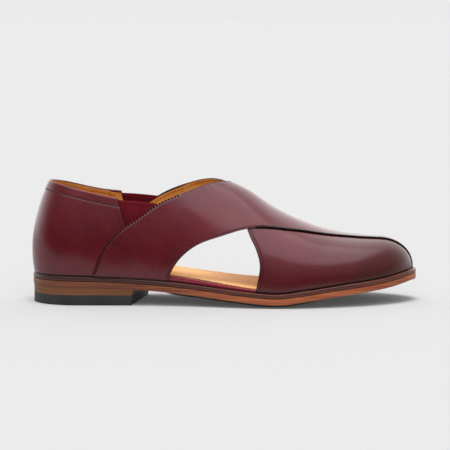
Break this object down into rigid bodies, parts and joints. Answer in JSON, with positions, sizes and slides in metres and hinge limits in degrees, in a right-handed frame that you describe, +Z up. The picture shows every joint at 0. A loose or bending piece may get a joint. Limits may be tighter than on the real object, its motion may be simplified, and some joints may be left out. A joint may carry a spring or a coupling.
{
  "type": "peshawari chappal",
  "caption": "Right closed-toe leather slip-on with broad crossed instep straps, half-moon side cut-outs, elastic gussets and a low stacked heel.",
  "frame": {"origin": "on the floor, under the middle of the sole's box", "axes": "+X to the toe, +Y to the medial side, +Z up"},
  "size_m": [0.3004, 0.1012, 0.0954],
  "materials": {
    "wine_leather": "polished burgundy leather with darker edges",
    "wine_elastic": "ribbed dark red elastic",
    "wine_board": "thin burgundy wrap on the insole board",
    "tan_leather": "smooth tan sock leather",
    "dark_welt": "dark brown painted edge",
    "tan_sole": "waxed orange-brown sole leather",
    "stacked_leather": "waxed brown stacked leather",
    "black_rubber": "matt black rubber"
  },
  "bodies": {
    "root": {"upper": "wine_leather", "elastic_lateral": "wine_elastic", "elastic_medial": "wine_elastic", "insole_board": "wine_board", "insole_sock": "tan_leather", "welt": "dark_welt", "outsole": "tan_sole", "heel_lift_upper": "stacked_leather", "heel_lift_lower": "stacked_leather", "heel_top_piece": "black_rubber"}
  },
  "joints": []
}
